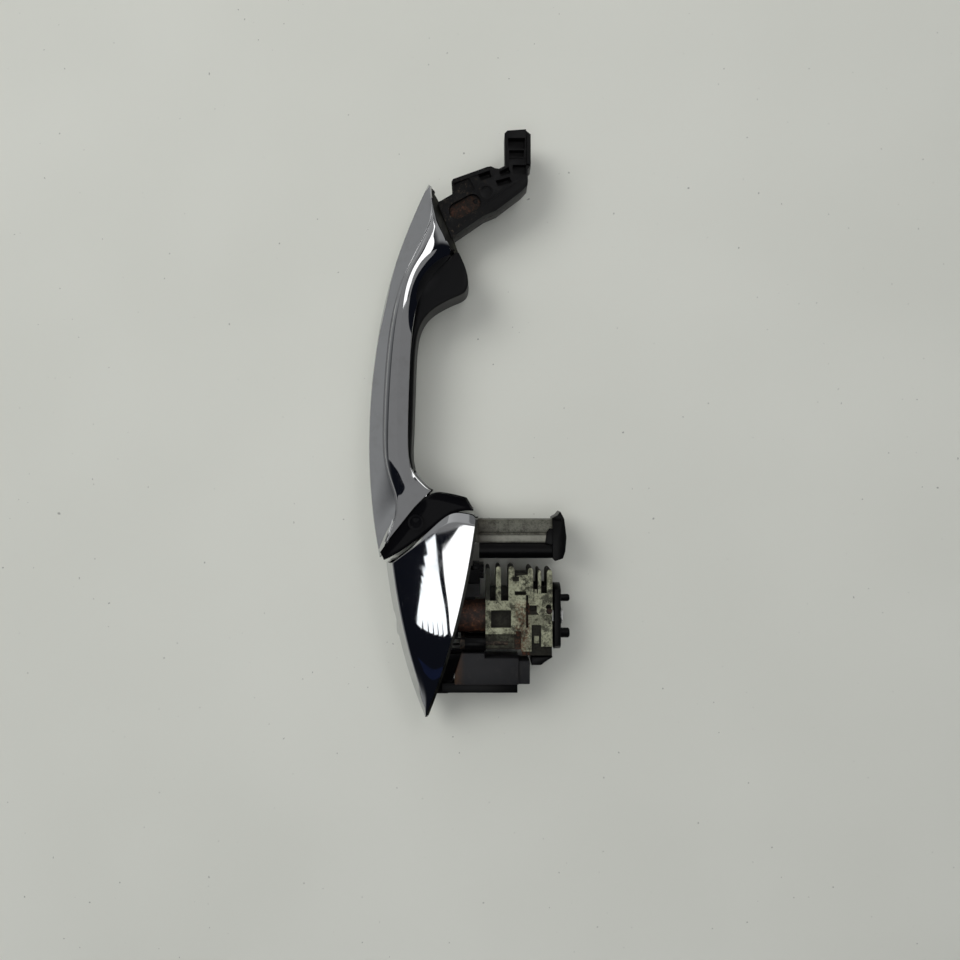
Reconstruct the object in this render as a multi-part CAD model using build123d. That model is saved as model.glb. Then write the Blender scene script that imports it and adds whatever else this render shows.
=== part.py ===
from build123d import *
import os
from math import sqrt

# Outside handle of a left front car door, in millimetres.
# +X points to the front of the car, +Y away from the car, and +Z up.
# The origin is the upright line that the grip swings about, in the knuckle of its front arm.

# ---------------------------------------------------------------- driving dimensions
GRIP_ARC = Vector(-122.1, -211.9)       # centre of the long outer curve of the grip
GRIP_RADIUS = 279.9
GRIP_HALF = 13.4                        # half the grip's width, up and down
GRIP_WALL = 2.3                         # chrome shell of the grip
GRIP_TIP_X = -2.5
GRIP_END_X = -174.4
CREASE_DEPTH = 5.6                      # the outer face turns into the flank this far in
CREASE_HALF = 10.6

CAP_ARC = Vector(-143.1, -237.4)        # centre of the outer curve of the rear cap
CAP_RADIUS = 299.0
CAP_HALF = 17.0
CAP_WALL = 2.2
CAP_TAIL_X = -248.3
CAP_TAPER_X = -186.0                    # the cap starts to narrow towards its tail here
SEAT_ARC = Vector(-108.8, 398.1)        # centre of the line where the cap meets the door
SEAT_RADIUS = 382.0

ARM_HALF = 6.4                          # hinge arm at the front
PULL_HALF = 7.0                         # pull arm at the rear
PULL_FRONT_X = -156.6
PULL_SPLIT_X = -167.5                   # the metal arm ends and its plastic cover starts
PULL_REAR_X = -174.9
PULL_ROOT_Y = 17.6
PULL_HEAD_Y = -16.0

LOCK_X = -201.4                         # the key turns about a line along Y at this place
HOUSING_OUT_Y = 14.5
HOUSING_IN_Y = -16.2
HOUSING_HALF = 11.0
PLUG_RADIUS = 5.8
RUNNING_GAP = 0.05
BARREL_RADIUS = 7.6
BARREL_OUT_Y = 46.0
FACE_Y = 54.2                           # front of the key plug
SLOT_HALF_X = 1.1
SLOT_HALF_Z = 4.3

COUPLER_OUT_Y = -16.7
COUPLER_IN_Y = -19.7
PRONG_END_Y = -24.3
PRONG_OFFSET = 8.1                      # each prong's distance from the lock's axis
SMALL_PRONG = 1.65
LARGE_PRONG = 2.3

SCREW_X = -213.0                        # two screws hold the lock housing to the carrier
SCREW_Z = 7.5
SCREW_SHANK = 1.6
SCREW_HEAD = 3.0

PLUG_SPOT = (-157.9, 46.0)              # round plug over the screw in the end piece
TALL = 40.0                             # taller than anything on the handle
CROWN_SWEEP = 30.0                      # degrees each way that a crowned section is turned


# ---------------------------------------------------------------- plain shapes
def on_arc(centre, radius, x, side=1):
    """The point of a circle at x, on its outer (1) or inner (-1) side."""
    return (x, centre.Y + side * sqrt(radius ** 2 - (x - centre.X) ** 2))


def arc_edge(centre, radius, x_start, x_end, side=1):
    middle = (x_start + x_end) / 2
    points = [on_arc(centre, radius, x, side) for x in (x_start, middle, x_end)]
    return ThreePointArc(*points)


def prism(edges, low, high):
    """A straight solid on an outline in the XY plane, from z = low to z = high."""
    return Pos(0, 0, low) * extrude(make_face(edges), amount=high - low)


def slab(points, low, high):
    return prism(Polyline(*points, close=True), low, high)


def block(x, y, z):
    """A box from its three (low, high) pairs."""
    size = [high - low for low, high in (x, y, z)]
    centre = [(high + low) / 2 for low, high in (x, y, z)]
    return Pos(*centre) * Box(*size)


def rod_y(radius, y_start, y_end, x=LOCK_X, z=0.0):
    """A round bar along Y."""
    middle = (y_start + y_end) / 2
    return Pos(x, middle, z) * Rot(90, 0, 0) * Cylinder(radius, abs(y_end - y_start))


def rod_z(radius, low, high, x, y):
    return Pos(x, y, (low + high) / 2) * Cylinder(radius, high - low)


def leaf(half_outline, along_y=120.0):
    """A solid whose outline seen from the side is an upper edge and its mirror image."""
    plane = Plane(origin=(0, -along_y, 0), x_dir=(1, 0, 0), z_dir=(0, -1, 0))
    upper = half_outline
    lower = mirror(upper, about=Plane.XZ)
    ends = [upper @ 0, upper @ 1]
    closing = [Line(end, (end.X, -end.Y)) for end in ends]
    face = make_face([upper, lower] + closing)
    return extrude(plane * face, amount=-2.5 * along_y)


def crowned(centre, half_profile):
    """Half a section, given as (radius, height), turned about an upright line and mirrored."""
    outline = Polyline(*half_profile, close=True)
    face = Plane(origin=(centre.X, centre.Y, 0), x_dir=(0, 1, 0), z_dir=(1, 0, 0)) * make_face(outline)
    axis = Axis((centre.X, centre.Y, 0), (0, 0, 1))
    upper = revolve(face, axis, revolution_arc=2 * CROWN_SWEEP).rotate(axis, -CROWN_SWEEP)
    return upper + mirror(upper, about=Plane.XY)


def save(shape, node):
    export_step(shape, f"parts/{node}.step")


# ---------------------------------------------------------------- the grip's outside
GRIP_TIP = on_arc(GRIP_ARC, GRIP_RADIUS, GRIP_TIP_X)
GRIP_CORNER = on_arc(GRIP_ARC, GRIP_RADIUS, GRIP_END_X)
FOOT_NOSE = (-33.8, 27.0)
FOOT_LOW = (-47.5, 22.0)
FOOT_HEEL = (-54.2, 23.8)
GAP_FRONT = (-72.0, 46.5)
GAP_REAR = (-129.0, 49.2)
REAR_NECK = (-143.6, 38.0)
REAR_SIDE = (-147.2, 23.6)
REAR_FOOT = (-153.2, 19.8)
MOUTH_LOW = (-152.8, 27.2)
MOUTH_HIGH = (-174.6, 59.6)


def grip_edges():
    """Outline of the whole grip from above: tip, outer curve, rear end, finger side, foot."""
    return [
        arc_edge(GRIP_ARC, GRIP_RADIUS, GRIP_TIP_X, GRIP_END_X),
        Polyline(GRIP_CORNER, MOUTH_HIGH, MOUTH_LOW, REAR_FOOT, REAR_SIDE, REAR_NECK),
        ThreePointArc(REAR_NECK, (-139.8, 45.2), GAP_REAR),
        ThreePointArc(GAP_REAR, (-100.5, 47.7), GAP_FRONT),
        ThreePointArc(GAP_FRONT, (-61.8, 39.0), FOOT_HEEL),
        ThreePointArc(FOOT_HEEL, FOOT_LOW, (-40.3, 23.7)),
        Polyline((-40.3, 23.7), FOOT_NOSE, (-6.5, 36.6), GRIP_TIP),
    ]


def nose_and_side(nose_x, nose_half, full_x, half):
    """Upper edge of a side view: a level edge from the rear, then a curve down to the nose."""
    level = Line((-185.0, half), (full_x, half))
    return level + TangentArc((full_x, half), (nose_x, nose_half), tangent=(1, 0))


def grip_side():
    """The grip narrows to its front tip."""
    return leaf(nose_and_side(0.0, 2.6, -45.0, GRIP_HALF))


def grip_crown():
    outer = GRIP_RADIUS
    return crowned(GRIP_ARC, [
        (outer - 90.0, 0.0), (outer, 0.0), (outer - 0.7, 3.6), (outer - 2.6, 7.2),
        (outer - CREASE_DEPTH, CREASE_HALF), (outer - 8.6, 12.7), (outer - 12.0, GRIP_HALF),
        (outer - 90.0, GRIP_HALF),
    ])


# Where the chrome stops and the black lining and foot start.
LINING_EDGE = [(-33.6, 28.6), (-40.3, 36.4), (-47.5, 41.9), (-56.0, 45.7), (-66.0, 47.9)]
LINING_REAR = (-133.5, 50.2)


def lining_zone():
    """Everything on the finger side of the chrome's edge, with the foot."""
    edge = Spline(*LINING_EDGE, (-83.0, 49.1))
    back = ThreePointArc((-83.0, 49.1), (-108.0, 50.0), LINING_REAR)
    close = Polyline(LINING_REAR, (-133.5, 10.0), (-33.6, 10.0), LINING_EDGE[0])
    return prism([edge, back, close], -TALL, TALL)


# The chrome's rear edge, and the black end piece behind it.
END_EDGE = [(-169.2, 61.9), (-149.6, 45.6), (-145.9, 42.3), (-143.0, 39.6)]


def end_zone():
    far = [(-140.0, 36.0), (-140.0, 12.0), (-190.0, 12.0), (-190.0, 59.0), (-173.6, 60.3), (-171.6, 61.8)]
    return slab(END_EDGE + far, -TALL, TALL)


# The strip of dark moulding under the tip, which sits on the door.
def seat_zone():
    chrome = Polyline((-4.6, 39.3), (-14.1, 38.2), (-25.0, 35.5), (-30.6, 32.3), (-33.6, 28.6))
    close = Polyline((-33.6, 28.6), (-34.4, 20.0), (0.0, 30.0), (-4.6, 39.3))
    return prism([chrome, close], -TALL, TALL)


def grip_channel(inset=0.0):
    """The hollow of the chrome shell, which is open on the finger side."""
    outer = GRIP_RADIUS - GRIP_WALL - inset
    half = GRIP_HALF - GRIP_WALL - inset
    body = crowned(GRIP_ARC, [
        (outer - 90.0, 0.0), (outer, 0.0), (outer - 2.4, 6.0), (outer - 6.4, half), (outer - 90.0, half),
    ])
    return body & leaf(nose_and_side(-4.0, 1.4, -47.0, half))


# ---------------------------------------------------------------- the front arm
ARM_OUTLINE = [
    (-12.0, 39.5), (-8.4, 29.7), (-2.5, 30.1), (-1.3, 29.4), (4.1, 13.7), (4.4, 12.1), (3.3, 9.8),
    (3.0, 8.4), (4.6, 5.6), (19.0, 5.9), (20.2, 4.7), (21.3, -4.2), (19.0, -6.2), (3.7, -6.2),
    (3.0, -4.6), (-2.5, -4.8), (-4.1, -4.6), (-7.0, -2.0), (-15.9, 9.8), (-18.3, 15.5), (-29.5, 32.0),
]
ARM_POCKETS = [
    [(18.3, 2.8), (18.3, -3.1), (14.4, -3.1), (14.4, 2.8)],
    [(11.4, 2.8), (11.4, -3.1), (8.1, -3.1), (8.1, 2.8)],
    [(1.2, 18.0), (2.9, 12.7), (1.2, 11.9), (-0.8, 17.2)],
    [(0.2, 10.1), (1.9, 5.4), (0.2, 4.6), (-1.8, 9.3)],
    [(-3.4, 6.4), (-1.4, 1.2), (-3.2, 0.4), (-5.5, 5.4)],
]
ARM_TURN = -60.0                        # the arm's slant, seen from above
INSERT_SPOT = (-13.6, 23.7)
POCKET_DEPTH = 2.4
INSERT_LENGTH = 13.4
INSERT_WIDTH = 7.0
INSERT_THICK = 1.4


def arm_oval(grow, low, high):
    """The long round pocket in the arm, where the steel insert shows."""
    oval = extrude(SlotOverall(INSERT_LENGTH + 2 * grow, INSERT_WIDTH + 2 * grow), amount=high - low)
    return Pos(INSERT_SPOT[0], INSERT_SPOT[1], low) * Rot(0, 0, ARM_TURN) * oval


def front_arm():
    arm = slab(ARM_OUTLINE, -ARM_HALF, ARM_HALF)
    for side in (-1, 1):
        for pocket in ARM_POCKETS:
            low, high = sorted((side * (ARM_HALF - POCKET_DEPTH), side * TALL))
            arm -= slab(pocket, low, high)
    arm -= arm_oval(0.0, ARM_HALF - POCKET_DEPTH - INSERT_THICK, TALL)
    return arm


def arm_insert():
    top = ARM_HALF - POCKET_DEPTH
    return arm_oval(0.0, top - INSERT_THICK, top)


# ---------------------------------------------------------------- the rear pull arm
ROOT_HALF = 5.0


def pull_arm_root(grow=0.0):
    """The arm's root, which reaches through the cap's mouth into the end piece."""
    outline = [
        (PULL_FRONT_X + grow, 16.0), (PULL_FRONT_X + grow, 31.5), (-150.8 + grow, 41.0),
        (-156.2, 52.0 + grow), (-163.0 - grow, 50.2 + grow), (PULL_SPLIT_X - grow, 46.0),
        (PULL_SPLIT_X - grow, 16.0),
    ]
    return slab(outline, -ROOT_HALF - grow, ROOT_HALF + grow)


def arm_screw_shape():
    shank = rod_z(2.0, -3.5, 8.4, *PLUG_SPOT)
    head = rod_z(3.4, 8.4, 10.4, *PLUG_SPOT)
    socket = Pos(*PLUG_SPOT, 9.4) * extrude(RegularPolygon(1.7, 6), amount=2.0)
    return shank + head - socket


def pull_arm():
    """Die-cast bar with a raised rib along its upper and lower faces."""
    bar = block((PULL_SPLIT_X, PULL_FRONT_X), (PULL_HEAD_Y, PULL_ROOT_Y), (-PULL_HALF, PULL_HALF))
    bar = chamfer(bar.edges().filter_by(Axis.Y).group_by(Axis.X)[-1], 1.8)
    for side in (-1, 1):
        groove = block((-164.0, -162.6), (PULL_HEAD_Y, PULL_ROOT_Y - 3.0), (-0.7, 0.7))
        bar -= Pos(0, 0, side * PULL_HALF) * groove
    return bar + pull_arm_root() - rod_z(2.0, -3.5, TALL, *PLUG_SPOT)


def pull_arm_cover():
    """Black sliding cover clipped along the rear side of the bar."""
    y_range = (PULL_HEAD_Y, PULL_ROOT_Y)
    cover = block((PULL_REAR_X, PULL_SPLIT_X), y_range, (-PULL_HALF + 0.4, PULL_HALF - 0.4))
    return chamfer(cover.edges().filter_by(Axis.Y).group_by(Axis.X)[0], 1.4)


def pull_arm_cap():
    """The head that the door's mechanism pulls on, with a flange on each side."""
    outline = [
        (-156.0, -16.0), (-155.0, -18.0), (-152.8, -19.7), (-156.0, -21.6), (-164.8, -22.7),
        (-171.3, -22.2), (-175.4, -21.0), (-176.6, -16.0),
    ]
    return slab(outline, -8.6, 8.6)


# ---------------------------------------------------------------- grip pieces
def end_piece():
    """Glossy black end of the grip, a little lower than the chrome around it."""
    half = GRIP_HALF - 0.7
    body = prism(grip_edges(), -half, half) & end_zone() & grip_crown()
    body -= pull_arm_root(0.05)
    body -= rod_z(2.05, 0.0, 8.4, *PLUG_SPOT)
    return body - rod_z(3.6, 8.4, TALL, *PLUG_SPOT)


def screw_plug():
    """Round dished plug over the screw."""
    top = GRIP_HALF - 0.7
    dish = Pos(*PLUG_SPOT, top + 8.6) * Sphere(9.0)
    return rod_z(3.6, 10.5, top, *PLUG_SPOT) - dish


def make_grip():
    whole = prism(grip_edges(), -GRIP_HALF, GRIP_HALF) & grip_crown() & grip_side()
    arm = front_arm()
    around_arm = slab(ARM_OUTLINE, -ARM_HALF - 0.05, ARM_HALF + 0.05)
    channel = grip_channel()
    end_space = prism(grip_edges(), -TALL, TALL) & end_zone()

    shell = whole - lining_zone() - end_space - seat_zone() - channel
    save(shell, "grip_shell")

    core = prism(grip_edges(), -GRIP_HALF, GRIP_HALF) & grip_channel(0.1)
    core -= block((-180.0, -169.0), (50.0, 70.0), (-TALL, TALL))
    core = core - lining_zone() - end_zone() - seat_zone() - pull_arm_root(0.05)
    save(core + arm - shell, "grip_core")
    save(arm_insert(), "arm_insert")

    lining = (whole & lining_zone()) - end_space
    hollow = block((-60.0, -38.0), (27.0, 34.0), (-9.5, 9.5))
    save(lining - hollow, "grip_lining")

    save((whole & seat_zone()) - lining_zone() - around_arm, "front_seat")
    save(end_piece(), "end_piece")
    save(screw_plug(), "screw_plug")
    save(arm_screw_shape(), "arm_screw")
    save(pull_arm(), "pull_arm")
    save(pull_arm_cover(), "pull_arm_cover")
    save(pull_arm_cap(), "pull_arm_cap")


# ---------------------------------------------------------------- the rear cap
CAP_FRONT_TURN = (-153.8, 26.6)
CAP_FRONT_X = -176.2                    # the cap's outer curve starts here
CAP_SEAT_X = -156.0                     # and its seat line here


def cap_edges():
    return [
        arc_edge(CAP_ARC, CAP_RADIUS, CAP_FRONT_X, CAP_TAIL_X),
        Line(on_arc(CAP_ARC, CAP_RADIUS, CAP_TAIL_X), on_arc(SEAT_ARC, SEAT_RADIUS, CAP_TAIL_X, -1)),
        arc_edge(SEAT_ARC, SEAT_RADIUS, CAP_TAIL_X, CAP_SEAT_X, -1),
        Polyline(on_arc(SEAT_ARC, SEAT_RADIUS, CAP_SEAT_X, -1), CAP_FRONT_TURN,
                 on_arc(CAP_ARC, CAP_RADIUS, CAP_FRONT_X)),
    ]


def cap_side(inset=0.0, tail=CAP_TAIL_X):
    half = CAP_HALF - inset
    taper = TangentArc((CAP_TAPER_X, half), (tail, 1.6), tangent=(-1, 0))
    return leaf(Line((-140.0, half), (CAP_TAPER_X, half)) + taper)


def cap_hollow(inset=0.0):
    outer = CAP_RADIUS - CAP_WALL - inset
    half = CAP_HALF - CAP_WALL - inset
    body = crowned(CAP_ARC, [
        (outer - 90.0, 0.0), (outer, 0.0), (outer - 1.0, 6.0), (outer - 3.6, 11.0),
        (outer - 7.4, half), (outer - 90.0, half),
    ])
    return body & cap_side(CAP_WALL + inset, CAP_TAIL_X + 7.0 + inset)


def cap_shell():
    outer = CAP_RADIUS
    crown = crowned(CAP_ARC, [
        (outer - 90.0, 0.0), (outer, 0.0), (outer - 0.8, 6.0), (outer - 3.0, 12.0), (outer - 6.0, 15.2),
        (outer - 12.0, 16.4), (outer - 30.0, CAP_HALF), (outer - 90.0, CAP_HALF),
    ])
    body = prism(cap_edges(), -CAP_HALF, CAP_HALF) & crown & cap_side()
    return body - cap_hollow() - rod_y(9.5, 40.0, 70.0)


def seat_band(outboard, inboard, x_front, x_rear, low, high):
    """A strip along the line where the cap meets the door, between two offsets from it."""
    return prism([
        arc_edge(SEAT_ARC, SEAT_RADIUS + inboard, x_front, x_rear, -1),
        Line(on_arc(SEAT_ARC, SEAT_RADIUS + inboard, x_rear, -1),
             on_arc(SEAT_ARC, SEAT_RADIUS - outboard, x_rear, -1)),
        arc_edge(SEAT_ARC, SEAT_RADIUS - outboard, x_rear, x_front, -1),
        Line(on_arc(SEAT_ARC, SEAT_RADIUS - outboard, x_front, -1),
             on_arc(SEAT_ARC, SEAT_RADIUS + inboard, x_front, -1)),
    ], low, high)


GASKET_THICK = 1.2
CARRIER_FRONT_X = -179.6
CARRIER_REAR_X = -238.0


def cap_gasket():
    """Rubber seal under the cap, open at the front for the pull arm."""
    band = seat_band(0.0, GASKET_THICK, -156.4, -247.4, -TALL, TALL) & cap_side(0.2)
    window = block((-239.5, -150.0), (0.0, 60.0), (-12.0, 12.0)) & cap_side(3.6, CAP_TAIL_X + 8.0)
    return band - window


def carrier_boss(side):
    return rod_y(3.6, HOUSING_OUT_Y, 24.0, SCREW_X, side * SCREW_Z)


def cap_carrier():
    """Black moulded frame clipped into the cap; it passes through the door skin."""
    plate = seat_band(4.6, 0.0, CARRIER_FRONT_X, CARRIER_REAR_X, -TALL, TALL) & cap_hollow(0.15)
    wall = seat_band(0.0, 6.0, CARRIER_FRONT_X, CARRIER_REAR_X, -11.4, 11.4)
    wall &= cap_side(4.6, CAP_TAIL_X + 11.0)
    inner = block((-218.0, -160.0), (0.0, 60.0), (-8.6, 8.6))
    frame = plate + wall - inner
    frame += block((-236.1, -231.8), (0.0, 34.4), (-6.0, 6.0))
    for side in (-1, 1):
        frame += carrier_boss(side)
    frame -= rod_y(BARREL_RADIUS + 0.3, -5.0, 60.0)
    for side in (-1, 1):
        frame -= rod_y(SCREW_SHANK, 0.0, 60.0, SCREW_X, side * SCREW_Z)
        frame -= rod_y(SCREW_HEAD + 0.2, 24.0, 60.0, SCREW_X, side * SCREW_Z)
    for clip in cap_clip_shapes():
        frame -= clip
    return frame


def cap_clip_shapes():
    """Two spring clips that hold the cap on the carrier, above and below."""
    clips = []
    for side in (-1, 1):
        low, high = sorted((side * 10.6, side * 12.0))
        clips.append(block((-191.6, -185.8), (17.0, 24.0), (low, high)))
    return clips


def make_cap():
    save(cap_shell(), "cap_shell")
    save(cap_gasket(), "cap_gasket")
    save(cap_carrier(), "cap_carrier")
    save(Compound(children=cap_clip_shapes()), "cap_clips")


# ---------------------------------------------------------------- the lock
# Each fin of the housing: its two faces along Y, and the place of its tip.
FINS = [
    (12.5, 14.5, -179.4), (7.4, 9.7, -178.9), (1.1, 3.9, -178.9),
    (-7.4, -5.1, -179.6), (-11.1, -9.7, -180.6), (-16.2, -13.9, -180.4),
]
FIN_ROOT_X = -194.5
POCKET_X = (-207.4, -199.1)
POCKET_Y = (2.5, 12.0)
POCKET_FLOOR = 6.4
PIN_SPOT = (-198.2, -14.2)
PIN_LOW = 7.85
SPRING_ROOM = 8.4


def fin(low_y, high_y, tip_x):
    """One cooling-fin-like rib with a round tip."""
    half = (high_y - low_y) / 2
    body = block((FIN_ROOT_X, tip_x - half), (low_y, high_y), (-HOUSING_HALF, HOUSING_HALF))
    tip = rod_z(half, -HOUSING_HALF, HOUSING_HALF, tip_x - half, low_y + half)
    return body + tip


def lock_housing():
    """Zinc casting that holds the key cylinder."""
    z_range = (-HOUSING_HALF, HOUSING_HALF)
    body = block((-216.2, FIN_ROOT_X), (HOUSING_IN_Y, HOUSING_OUT_Y), z_range)
    body += block((-219.5, -216.2), (HOUSING_IN_Y, -1.9), z_range)
    body += block((FIN_ROOT_X, -182.2), (-5.1, 1.1), (-8.0, 8.0))
    for low_y, high_y, tip_x in FINS:
        body += fin(low_y, high_y, tip_x)
    body -= block(POCKET_X, POCKET_Y, (POCKET_FLOOR, TALL))
    body -= block((-206.4, -193.0), (-4.8, -3.9), (8.2, TALL))
    body -= block((-212.6, -207.2), (-10.6, -5.1), (7.0, TALL))
    body -= block((-216.2, -210.4), (0.5, HOUSING_OUT_Y), (9.0, TALL))
    body -= rod_y(PLUG_RADIUS + RUNNING_GAP, -30.0, 30.0)
    body -= rod_y(BARREL_RADIUS, 13.0, 30.0)
    body -= rod_y(SPRING_ROOM, HOUSING_IN_Y, -12.2) - rod_y(6.5, HOUSING_IN_Y, -12.2)
    body -= rod_z(1.4, PIN_LOW, TALL, *PIN_SPOT)
    for side in (-1, 1):
        body -= rod_y(SCREW_SHANK, 4.0, 30.0, SCREW_X, side * SCREW_Z)
    return body


def lock_barrel():
    """Steel tube between the housing and the keyhole."""
    return rod_y(BARREL_RADIUS, 13.0, BARREL_OUT_Y) - rod_y(PLUG_RADIUS + RUNNING_GAP, 0.0, 60.0)


def key_bezel():
    """Ring around the keyhole, with a lip that rests on the end of the barrel."""
    ring = rod_y(9.35, BARREL_OUT_Y, 55.0) - rod_y(7.5, 47.2, 60.0) - rod_y(6.0, 40.0, 60.0)
    return chamfer(ring.edges().filter_by(GeomType.CIRCLE).group_by(Axis.Y)[-1], 0.5)


def barrel_seal():
    seal = Pos(LOCK_X, BARREL_OUT_Y - 2.2, 0) * Rot(90, 0, 0) * Torus(BARREL_RADIUS + 0.9, 0.85)
    return seal - rod_y(BARREL_RADIUS, 40.0, 50.0)


def housing_screws():
    screws = []
    for side in (-1, 1):
        z = side * SCREW_Z
        screw = rod_y(SCREW_SHANK, 4.4, 24.0, SCREW_X, z) + rod_y(SCREW_HEAD, 24.0, 26.0, SCREW_X, z)
        socket = Plane(origin=(SCREW_X, 26.0, z), z_dir=(0, -1, 0)) * RegularPolygon(1.5, 6)
        screws.append(screw - extrude(socket, amount=1.2))
    return Compound(children=screws)


def return_spring():
    """Torsion spring in the ring-shaped pocket behind the coupler."""
    coil_radius = 7.45
    wire = 0.5
    path = Helix(pitch=1.25, height=2.5, radius=coil_radius)
    section = Plane(origin=path @ 0, z_dir=path % 0) * Circle(wire)
    coil = sweep(section, path=path)
    return Pos(LOCK_X, -12.85, 0) * Rot(90, 0, 0) * coil


def guide_block():
    """Black moulded block behind the lock, which steadies it in the door."""
    body = block((-231.8, -217.6), (15.0, 28.6), (-9.0, 9.0))
    body += block((-231.8, -219.9), (-0.5, 15.0), (-9.0, 9.0))
    body += block((-231.8, -221.3), (-5.6, -0.5), (-7.8, 7.8))
    body -= cap_carrier_space()
    return body


def cap_carrier_space():
    """What the carrier needs beside the guide block."""
    wall = seat_band(6.0, 6.1, CARRIER_FRONT_X, CARRIER_REAR_X, -TALL, TALL)
    bosses = rod_y(3.7, 10.0, 40.0, SCREW_X, SCREW_Z) + rod_y(3.7, 10.0, 40.0, SCREW_X, -SCREW_Z)
    return wall + bosses


def drive_cover():
    """Black guard along the rear and lower sides of the housing's inner end."""
    rear = slab([(-219.6, -6.3), (-219.6, -16.1), (-221.8, -12.6), (-223.3, -10.8), (-223.3, -6.3)],
                -13.4, 7.0)
    floor = block((-219.6, -187.0), (-16.1, -6.3), (-13.4, -HOUSING_HALF))
    return rear + floor


def make_lock():
    save(lock_housing(), "lock_housing")
    save(lock_barrel(), "lock_barrel")
    save(key_bezel(), "key_bezel")
    save(barrel_seal(), "barrel_seal")
    save(housing_screws(), "housing_screws")
    save(rod_z(1.4, PIN_LOW, HOUSING_HALF - 0.2, *PIN_SPOT), "roll_pin")
    save(return_spring(), "return_spring")
    save(guide_block(), "guide_block")
    save(drive_cover(), "drive_cover")


# ---------------------------------------------------------------- what turns with the key
WAFER_COUNT = 8
WAFER_PITCH = 3.0
WAFER_FIRST_Y = 20.0
WAFER_THICK = 1.0
WAFER_HALF_X = 1.95
WAFER_LOW = -5.1
WAFER_HIGH = 3.9
TAIL_HALF = 2.4
HINGE_X = LOCK_X + 1.75
HINGE_Y = 52.0


def wafer_places():
    return [WAFER_FIRST_Y + number * WAFER_PITCH for number in range(WAFER_COUNT)]


def beside_lock(half_x, y, z):
    return block((LOCK_X - half_x, LOCK_X + half_x), y, z)


def key_plug():
    body = rod_y(PLUG_RADIUS, -15.9, 47.3) + rod_y(7.4, 47.3, FACE_Y)
    body += beside_lock(TAIL_HALF, (-21.2, -15.9), (-TAIL_HALF, TAIL_HALF))
    body -= beside_lock(SLOT_HALF_X, (16.0, 60.0), (-SLOT_HALF_Z, SLOT_HALF_Z))
    body -= block((LOCK_X - 2.3, LOCK_X + 2.5), (48.0, 53.0), (-4.7, 4.7))
    for y in wafer_places():
        body -= beside_lock(2.0, (y - 0.05, y + WAFER_THICK + 0.05), (-5.2, 5.2))
    groove = rod_y(6.0, -20.5, -19.8) - rod_y(2.0, -20.5, -19.8)
    return body - groove


def plug_wafers():
    wafers = []
    for number, y in enumerate(wafer_places()):
        cut = -3.2 + 0.4 * ((number * 3) % 4)
        plate = beside_lock(WAFER_HALF_X, (y, y + WAFER_THICK), (WAFER_LOW, WAFER_HIGH))
        plate -= beside_lock(SLOT_HALF_X + 0.05, (y - 1, y + 2), (cut, 2.9))
        wafers.append(plate)
    return Compound(children=wafers)


def wafer_springs():
    springs = [rod_z(0.38, WAFER_HIGH, 5.2, LOCK_X + 1.5, y + WAFER_THICK / 2) for y in wafer_places()]
    return Compound(children=springs)


def coupler():
    """Oblong plate with two prongs that drives the door's latch linkage."""
    plate = rod_y(15.2, COUPLER_OUT_Y, COUPLER_IN_Y)
    plate &= block((-230.0, -170.0), (-30.0, 0.0), (-8.2, 8.2))
    for side, radius in ((1, SMALL_PRONG), (-1, LARGE_PRONG)):
        x = LOCK_X + side * PRONG_OFFSET
        prong = rod_y(radius, COUPLER_IN_Y, PRONG_END_Y, x)
        plate += chamfer(prong.edges().filter_by(GeomType.CIRCLE).group_by(Axis.Y)[0], 0.6)
    return plate - beside_lock(TAIL_HALF, (-30.0, 0.0), (-TAIL_HALF, TAIL_HALF))


CLIP_RADIUS = 4.0
CLIP_Y = (-20.45, -19.85)


def coupler_clip():
    """Open ring that holds the coupler on the plug's tail."""
    ring = rod_y(CLIP_RADIUS, *CLIP_Y) - rod_y(2.0, -22.0, -18.0)
    return ring - block((LOCK_X, LOCK_X + 6.0), (-22.0, -18.0), (-1.5, 1.5))


def dust_shutter():
    """Flap behind the keyhole, hinged beside the slot."""
    knuckle = rod_z(0.55, -4.4, 4.4, HINGE_X, HINGE_Y)
    flap = block((LOCK_X - 1.9, HINGE_X), (HINGE_Y - 0.05, HINGE_Y + 0.55), (-4.4, 4.4))
    return knuckle + flap


def make_key_cylinder():
    save(key_plug(), "key_plug")
    save(plug_wafers(), "plug_wafers")
    save(wafer_springs(), "wafer_springs")
    save(coupler(), "coupler")
    save(coupler_clip(), "coupler_clip")
    save(dust_shutter(), "dust_shutter")


make_grip()
make_cap()
make_lock()
make_key_cylinder()
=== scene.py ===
from math import atan, cos, hypot, pi, radians, sin, sqrt

import bmesh
import bpy
from mathutils import Matrix, Vector


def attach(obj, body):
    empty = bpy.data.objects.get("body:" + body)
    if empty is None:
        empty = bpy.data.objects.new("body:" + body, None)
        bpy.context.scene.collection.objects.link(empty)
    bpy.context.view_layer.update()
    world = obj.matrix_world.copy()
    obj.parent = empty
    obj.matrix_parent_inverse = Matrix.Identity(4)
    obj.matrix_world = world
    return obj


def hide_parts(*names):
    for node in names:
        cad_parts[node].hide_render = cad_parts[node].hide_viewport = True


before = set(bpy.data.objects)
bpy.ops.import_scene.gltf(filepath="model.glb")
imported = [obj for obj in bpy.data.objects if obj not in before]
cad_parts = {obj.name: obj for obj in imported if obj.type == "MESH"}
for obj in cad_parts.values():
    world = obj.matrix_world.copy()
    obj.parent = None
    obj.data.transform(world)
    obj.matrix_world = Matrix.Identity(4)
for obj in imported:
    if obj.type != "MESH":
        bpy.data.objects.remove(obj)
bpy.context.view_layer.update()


# ---------------------------------------------------------------- camera
# The camera looks straight down on the middle of the handle from just under half a metre.
# The front of the car is up in its view, and the outboard side is on the left.
MM = 0.001
VIEW_SPOT = (-138.9, 17.1)
VIEW_HEIGHT = 446.0
VIEW_WIDTH = 444.5
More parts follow.
